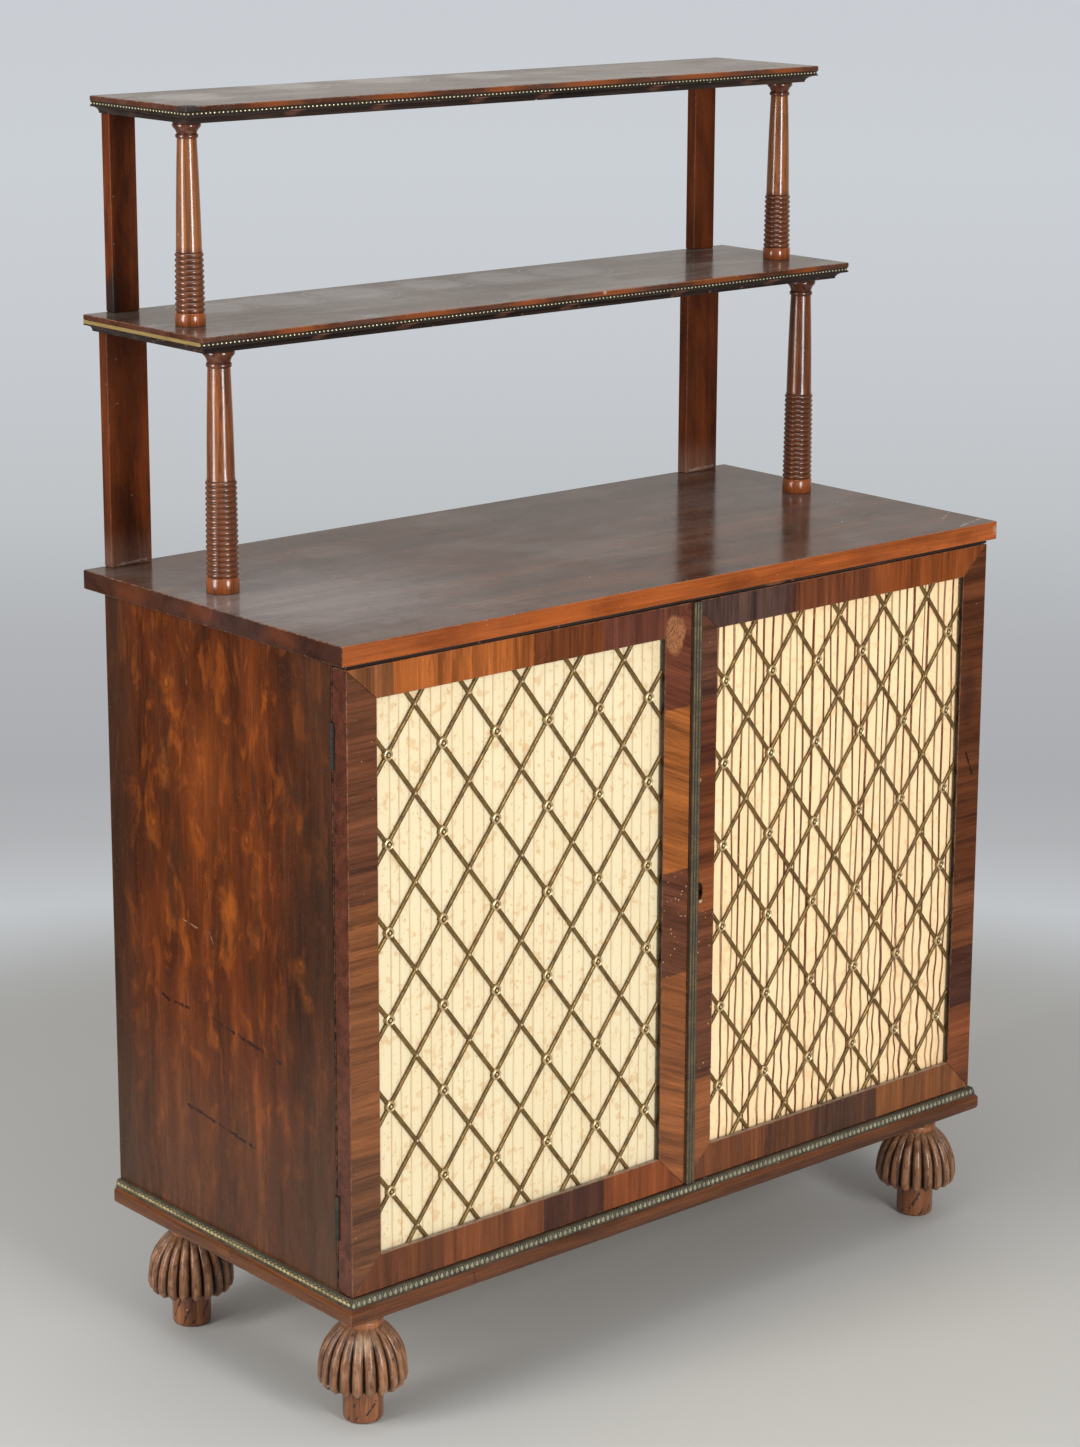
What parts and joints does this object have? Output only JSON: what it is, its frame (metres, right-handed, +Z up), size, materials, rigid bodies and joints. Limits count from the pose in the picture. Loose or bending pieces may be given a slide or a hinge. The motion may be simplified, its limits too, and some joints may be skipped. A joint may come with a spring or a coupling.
{
  "type": "chiffonier",
  "caption": "Low cupboard with brass-latticed, silk-lined doors on lobed feet, under open shelves carried by ring-turned columns and flat uprights.",
  "frame": {"origin": "on the floor, in the middle of the footprint", "axes": "+Z up; -Y towards the front, where the doors are; +X to the right of someone facing the doors"},
  "size_m": [0.914, 0.4404, 1.304],
  "materials": {
    "rosewood": "worn French polish on dark reddish-brown wood",
    "polished_top": "glossy French polish, marked by use",
    "turned_wood": "glossy polish on turned wood",
    "carved_wood": "worn and dusty carved wood",
    "ebonised": "satin, blackened",
    "pine": "bare sawn softwood",
    "brass": "dull, tarnished",
    "aged_brass": "dull, with green-grey verdigris",
    "iron": "dark, lightly rusted",
    "silk": "matte cream silk with rust-brown streaks on the pleats"
  },
  "bodies": {
    "carcase": {"top_board": "polished_top", "bottom_board": "pine", "back_panel": "pine", "frieze_rail": "ebonised", "inner_shelf": "pine", "plinth_front": "rosewood", "plinth_beading": "aged_brass", "left_side": "rosewood", "right_side": "rosewood", "left_shelf_bearer": "pine", "right_shelf_bearer": "pine", "plinth_left": "rosewood", "plinth_right": "rosewood", "front_left_foot": "carved_wood", "front_right_foot": "carved_wood", "back_left_foot": "carved_wood", "back_right_foot": "carved_wood", "middle_shelf": "polished_top", "middle_shelf_cove": "ebonised", "middle_shelf_beading": "brass", "top_shelf": "polished_top", "top_shelf_cove": "ebonised", "top_shelf_beading": "brass", "lower_left_upright": "rosewood", "lower_right_upright": "rosewood", "lower_left_column": "turned_wood", "lower_right_column": "turned_wood", "upper_left_upright": "rosewood", "upper_right_upright": "rosewood", "upper_left_column": "turned_wood", "upper_right_column": "turned_wood", "left_upper_hinge_case_leaf": "brass", "left_lower_hinge_case_leaf": "brass", "right_upper_hinge_case_leaf": "brass", "right_lower_hinge_case_leaf": "brass"},
    "left_door": {"left_door_hinge_stile": "rosewood", "left_door_meeting_stile": "rosewood", "left_door_top_rail": "rosewood", "left_door_bottom_rail": "rosewood", "left_grille": "brass", "left_silk": "silk", "left_silk_frame": "pine", "left_upper_hinge_door_leaf": "brass", "left_lower_hinge_door_leaf": "brass", "top_bolt_plate": "brass", "bottom_bolt_plate": "brass"},
    "right_door": {"right_door_hinge_stile": "rosewood", "right_door_meeting_stile": "rosewood", "right_door_top_rail": "rosewood", "right_door_bottom_rail": "rosewood", "right_grille": "brass", "right_silk": "silk", "right_silk_frame": "pine", "right_upper_hinge_door_leaf": "brass", "right_lower_hinge_door_leaf": "brass", "astragal": "aged_brass", "lock_case": "iron"},
    "lock_bolt": {"lock_bolt": "brass"},
    "top_bolt": {"top_bolt": "brass"},
    "bottom_bolt": {"bottom_bolt": "brass"}
  },
  "joints": [
    {"name": "left_door_hinge", "type": "hinge", "parent": "carcase", "child": "left_door", "pos_m": [-0.448, -0.18925, 0.475], "axis": [0, 0, -1], "range_deg": [0, 170]},
    {"name": "right_door_hinge", "type": "hinge", "parent": "carcase", "child": "right_door", "pos_m": [0.448, -0.18925, 0.475], "axis": [0, 0, 1], "range_deg": [0, 170]},
    {"name": "lock_bolt_slide", "type": "slide", "parent": "right_door", "child": "lock_bolt", "axis": [-1, 0, 0], "range_m": [0, 0.008]},
    {"name": "top_bolt_slide", "type": "slide", "parent": "left_door", "child": "top_bolt", "axis": [0, 0, 1], "range_m": [0, 0.012]},
    {"name": "bottom_bolt_slide", "type": "slide", "parent": "left_door", "child": "bottom_bolt", "axis": [0, 0, -1], "range_m": [0, 0.012]}
  ]
}
